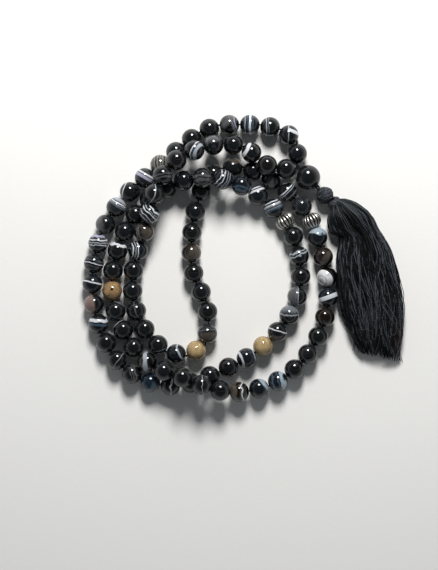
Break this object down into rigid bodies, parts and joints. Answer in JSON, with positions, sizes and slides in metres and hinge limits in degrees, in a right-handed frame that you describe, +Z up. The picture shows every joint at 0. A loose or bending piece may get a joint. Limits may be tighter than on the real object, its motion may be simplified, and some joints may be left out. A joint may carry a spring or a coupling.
{
  "type": "mala prayer beads",
  "caption": "Closed string of banded black stone beads with ribbed silver dividers, a large end bead, a wound knot and a black thread tassel.",
  "frame": {"origin": "centre of the laid-out string's box, on the surface that it lies on", "axes": "+Z up off that surface; the tassel lies towards +X; the large end bead and the top of the loop lie towards +Y"},
  "size_m": [0.1286, 0.1149, 0.0157],
  "materials": {
    "black_agate": "polished",
    "banded_agate": "polished, white and grey bands",
    "honey_agate": "polished, translucent honey",
    "brown_agate": "polished, dark brown",
    "silver": "bright ribs with dark oxidised grooves",
    "cord": "twisted thread",
    "tassel_thread": "silky black thread"
  },
  "bodies": {
    "strand": {"first_run_beads": "black_agate", "second_run_beads": "black_agate", "third_run_beads": "black_agate", "cord_first_part": "cord", "cord_last_part": "cord", "mouth_knot": "cord", "guru_cords": "cord"},
    "middle_run": {"middle_beads": "black_agate", "cord_middle_part": "cord"},
    "guru": {"guru_bead": "black_agate"},
    "upper_divider": {"upper_divider": "silver"},
    "lower_divider": {"lower_divider": "silver"},
    "knot": {"tassel_knot": "tassel_thread"},
    "tassel": {"tassel_head": "tassel_thread", "waist_binding": "tassel_thread", "tassel_skirt": "tassel_thread"},
    "first_03": {"first_run_bead_03": "banded_agate"},
    "first_05": {"first_run_bead_05": "banded_agate"},
    "first_06": {"first_run_bead_06": "banded_agate"},
    "first_08": {"first_run_bead_08": "banded_agate"},
    "first_10": {"first_run_bead_10": "banded_agate"},
    "first_11": {"first_run_bead_11": "brown_agate"},
    "first_12": {"first_run_bead_12": "banded_agate"},
    "first_15": {"first_run_bead_15": "banded_agate"},
    "first_17": {"first_run_bead_17": "banded_agate"},
    "first_18": {"first_run_bead_18": "banded_agate"},
    "first_19": {"first_run_bead_19": "honey_agate"},
    "first_20": {"first_run_bead_20": "brown_agate"},
    "first_24": {"first_run_bead_24": "brown_agate"},
    "first_31": {"first_run_bead_31": "banded_agate"},
    "first_32": {"first_run_bead_32": "banded_agate"},
    "first_33": {"first_run_bead_33": "banded_agate"},
    "second_01": {"second_run_bead_01": "banded_agate"},
    "second_02": {"second_run_bead_02": "brown_agate"},
    "second_03": {"second_run_bead_03": "banded_agate"},
    "second_04": {"second_run_bead_04": "banded_agate"},
    "second_05": {"second_run_bead_05": "brown_agate"},
    "second_09": {"second_run_bead_09": "banded_agate"},
    "second_11": {"second_run_bead_11": "banded_agate"},
    "second_13": {"second_run_bead_13": "banded_agate"},
    "second_16": {"second_run_bead_16": "banded_agate"},
    "second_18": {"second_run_bead_18": "banded_agate"},
    "second_19": {"second_run_bead_19": "banded_agate"},
    "second_20": {"second_run_bead_20": "honey_agate"},
    "second_22": {"second_run_bead_22": "banded_agate"},
    "second_25": {"second_run_bead_25": "brown_agate"},
    "second_29": {"second_run_bead_29": "banded_agate"},
    "second_32": {"second_run_bead_32": "banded_agate"},
    "third_04": {"third_run_bead_04": "banded_agate"},
    "third_06": {"third_run_bead_06": "banded_agate"},
    "third_07": {"third_run_bead_07": "honey_agate"},
    "third_13": {"third_run_bead_13": "banded_agate"},
    "third_17": {"third_run_bead_17": "banded_agate"},
    "third_18": {"third_run_bead_18": "brown_agate"},
    "third_20": {"third_run_bead_20": "banded_agate"},
    "third_23": {"third_run_bead_23": "banded_agate"},
    "third_25": {"third_run_bead_25": "banded_agate"},
    "third_26": {"third_run_bead_26": "brown_agate"},
    "third_31": {"third_run_bead_31": "banded_agate"}
  },
  "joints": [
    {"name": "knot_swing", "type": "hinge", "parent": "strand", "child": "knot", "pos_m": [0.0304, 0.02858, 0.005], "axis": [0, 0, 1], "range_deg": [0, 45]},
    {"name": "tassel_lift", "type": "hinge", "parent": "knot", "child": "tassel", "pos_m": [0.03682, 0.02277, 0.0038], "axis": [-0.8356, -0.5494, 0], "range_deg": [0, 50]},
    {"name": "middle_run_roll", "type": "hinge", "parent": "strand", "child": "middle_run", "pos_m": [-0.0134, -0.02509, 0.004], "axis": [-0.0895, 0.996, 0], "range_deg": [0, 180]},
    {"name": "guru_turn", "type": "hinge", "parent": "strand", "child": "guru", "pos_m": [0.02615, 0.03282, 0.005], "axis": [0.7071, -0.7071, 0], "continuous": true},
    {"name": "turn_lower_divider", "type": "hinge", "parent": "strand", "child": "lower_divider", "pos_m": [0.02763, 0.01548, 0.004], "axis": [0.4221, -0.9066, 0], "continuous": true},
    {"name": "turn_upper_divider", "type": "hinge", "parent": "strand", "child": "upper_divider", "pos_m": [0.01713, 0.0154, 0.004], "axis": [0.5656, -0.8247, 0], "continuous": true},
    {"name": "turn_first_03", "type": "hinge", "parent": "strand", "child": "first_03", "pos_m": [0.00352, 0.04248, 0.00821], "axis": [-0.6869, 0.6164, -0.385], "continuous": true},
    {"name": "turn_first_05", "type": "hinge", "parent": "strand", "child": "first_05", "pos_m": [-0.01167, 0.04552, 0.00806], "axis": [-0.8941, -0.2222, 0.3888], "continuous": true},
    {"name": "turn_first_06", "type": "hinge", "parent": "strand", "child": "first_06", "pos_m": [-0.01917, 0.04324, 0.0103], "axis": [-0.9301, -0.3338, 0.1532], "continuous": true},
    {"name": "turn_first_08", "type": "hinge", "parent": "strand", "child": "first_08", "pos_m": [-0.03166, 0.03324, 0.01171], "axis": [-0.5263, -0.8478, 0.0655], "continuous": true},
    {"name": "turn_first_10", "type": "hinge", "parent": "strand", "child": "first_10", "pos_m": [-0.03711, 0.01818, 0.00982], "axis": [-0.227, -0.9021, -0.3671], "continuous": true},
    {"name": "turn_first_11", "type": "hinge", "parent": "strand", "child": "first_11", "pos_m": [-0.03925, 0.01101, 0.0065], "axis": [-0.2942, -0.8468, -0.4431], "continuous": true},
    {"name": "turn_first_12", "type": "hinge", "parent": "strand", "child": "first_12", "pos_m": [-0.04177, 0.00362, 0.00434], "axis": [-0.317, -0.9448, -0.0825], "continuous": true},
    {"name": "turn_first_15", "type": "hinge", "parent": "strand", "child": "first_15", "pos_m": [-0.04256, -0.0205, 0.004], "axis": [0.2981, -0.9545, 0], "continuous": true},
    {"name": "turn_first_17", "type": "hinge", "parent": "strand", "child": "first_17", "pos_m": [-0.03387, -0.03416, 0.004], "axis": [0.7351, -0.678, 0], "continuous": true},
    {"name": "turn_first_18", "type": "hinge", "parent": "strand", "child": "first_18", "pos_m": [-0.02659, -0.03783, 0.004], "axis": [0.9796, -0.2008, 0], "continuous": true},
    {"name": "turn_first_19", "type": "hinge", "parent": "strand", "child": "first_19", "pos_m": [-0.01856, -0.03647, 0.004], "axis": [0.8608, 0.5089, 0], "continuous": true},
    {"name": "turn_first_20", "type": "hinge", "parent": "strand", "child": "first_20", "pos_m": [-0.01409, -0.02966, 0.004], "axis": [0.1497, 0.9887, 0], "continuous": true},
    {"name": "turn_first_24", "type": "hinge", "parent": "middle_run", "child": "first_24", "pos_m": [-0.02048, 0.00273, 0.004], "axis": [0.019, 0.9998, 0], "continuous": true},
    {"name": "turn_first_31", "type": "hinge", "parent": "strand", "child": "first_31", "pos_m": [0.01133, 0.03169, 0.004], "axis": [0.8456, -0.5338, 0], "continuous": true},
    {"name": "turn_first_32", "type": "hinge", "parent": "strand", "child": "first_32", "pos_m": [0.01801, 0.02699, 0.004], "axis": [0.7873, -0.6165, 0], "continuous": true},
    {"name": "turn_first_33", "type": "hinge", "parent": "strand", "child": "first_33", "pos_m": [0.02382, 0.02128, 0.004], "axis": [0.6308, -0.7759, 0], "continuous": true},
    {"name": "turn_second_01", "type": "hinge", "parent": "strand", "child": "second_01", "pos_m": [0.03005, 0.00895, 0.004], "axis": [0.2931, -0.9561, 0], "continuous": true},
    {"name": "turn_second_02", "type": "hinge", "parent": "strand", "child": "second_02", "pos_m": [0.03231, 0.00111, 0.004], "axis": [0.2615, -0.9652, 0], "continuous": true},
    {"name": "turn_second_03", "type": "hinge", "parent": "strand", "child": "second_03", "pos_m": [0.03392, -0.00689, 0.004], "axis": [0.1313, -0.9913, 0], "continuous": true},
    {"name": "turn_second_04", "type": "hinge", "parent": "strand", "child": "second_04", "pos_m": [0.03423, -0.01504, 0.004], "axis": [-0.0547, -0.9985, 0], "continuous": true},
    {"name": "turn_second_05", "type": "hinge", "parent": "strand", "child": "second_05", "pos_m": [0.033, -0.0231, 0.004], "axis": [-0.245, -0.9695, 0], "continuous": true},
    {"name": "turn_second_09", "type": "hinge", "parent": "strand", "child": "second_09", "pos_m": [0.01417, -0.04869, 0.004], "axis": [-0.8735, -0.4868, 0], "continuous": true},
    {"name": "turn_second_11", "type": "hinge", "parent": "strand", "child": "second_11", "pos_m": [-0.00137, -0.0529, 0.00529], "axis": [-0.9489, -0.0547, 0.3109], "continuous": true},
    {"name": "turn_second_13", "type": "hinge", "parent": "strand", "child": "second_13", "pos_m": [-0.01626, -0.04974, 0.01086], "axis": [-0.9065, 0.3759, 0.1923], "continuous": true},
    {"name": "turn_second_16", "type": "hinge", "parent": "strand", "child": "second_16", "pos_m": [-0.03808, -0.04088, 0.00603], "axis": [-0.7472, 0.5769, -0.33], "continuous": true},
    {"name": "turn_second_18", "type": "hinge", "parent": "strand", "child": "second_18", "pos_m": [-0.04784, -0.02818, 0.004], "axis": [-0.4391, 0.8984, 0], "continuous": true},
    {"name": "turn_second_19", "type": "hinge", "parent": "strand", "child": "second_19", "pos_m": [-0.0508, -0.02058, 0.004], "axis": [-0.2843, 0.9587, 0], "continuous": true},
    {"name": "turn_second_20", "type": "hinge", "parent": "strand", "child": "second_20", "pos_m": [-0.05221, -0.01255, 0.004], "axis": [-0.0596, 0.9982, 0], "continuous": true},
    {"name": "turn_second_22", "type": "hinge", "parent": "strand", "child": "second_22", "pos_m": [-0.05011, 0.00356, 0.004], "axis": [0.2803, 0.9599, 0], "continuous": true},
    {"name": "turn_second_25", "type": "hinge", "parent": "strand", "child": "second_25", "pos_m": [-0.03721, 0.02394, 0.004], "axis": [0.7728, 0.6346, 0], "continuous": true},
    {"name": "turn_second_29", "type": "hinge", "parent": "strand", "child": "second_29", "pos_m": [-0.00786, 0.03159, 0.01093], "axis": [0.9709, -0.1583, -0.1795], "continuous": true},
    {"name": "turn_second_32", "type": "hinge", "parent": "strand", "child": "second_32", "pos_m": [0.0124, 0.0205, 0.00411], "axis": [0.7506, -0.6602, -0.0274], "continuous": true},
    {"name": "turn_third_04", "type": "hinge", "parent": "strand", "child": "third_04", "pos_m": [0.02192, -0.01477, 0.004], "axis": [-0.2868, -0.958, 0], "continuous": true},
    {"name": "turn_third_06", "type": "hinge", "parent": "strand", "child": "third_06", "pos_m": [0.01403, -0.02894, 0.004], "axis": [-0.6505, -0.7595, 0], "continuous": true},
    {"name": "turn_third_07", "type": "hinge", "parent": "strand", "child": "third_07", "pos_m": [0.00823, -0.03467, 0.004], "axis": [-0.7676, -0.641, 0], "continuous": true},
    {"name": "turn_third_13", "type": "hinge", "parent": "strand", "child": "third_13", "pos_m": [-0.0369, -0.04921, 0.004], "axis": [-0.9634, 0.268, 0], "continuous": true},
    {"name": "turn_third_17", "type": "hinge", "parent": "strand", "child": "third_17", "pos_m": [-0.05768, -0.02574, 0.004], "axis": [-0.3076, 0.9515, 0], "continuous": true},
    {"name": "turn_third_18", "type": "hinge", "parent": "strand", "child": "third_18", "pos_m": [-0.05955, -0.0178, 0.004], "axis": [-0.1477, 0.989, 0], "continuous": true},
    {"name": "turn_third_20", "type": "hinge", "parent": "strand", "child": "third_20", "pos_m": [-0.05952, -0.00152, 0.004], "axis": [0.1425, 0.9898, 0], "continuous": true},
    {"name": "turn_third_23", "type": "hinge", "parent": "strand", "child": "third_23", "pos_m": [-0.05055, 0.02099, 0.004], "axis": [0.6106, 0.7919, 0], "continuous": true},
    {"name": "turn_third_25", "type": "hinge", "parent": "strand", "child": "third_25", "pos_m": [-0.0392, 0.03271, 0.004], "axis": [0.7451, 0.667, 0], "continuous": true},
    {"name": "turn_third_26", "type": "hinge", "parent": "strand", "child": "third_26", "pos_m": [-0.03298, 0.038, 0.004], "axis": [0.7777, 0.6286, 0], "continuous": true},
    {"name": "turn_third_31", "type": "hinge", "parent": "strand", "child": "third_31", "pos_m": [0.00294, 0.05404, 0.004], "axis": [1, -0.0069, 0], "continuous": true}
  ]
}
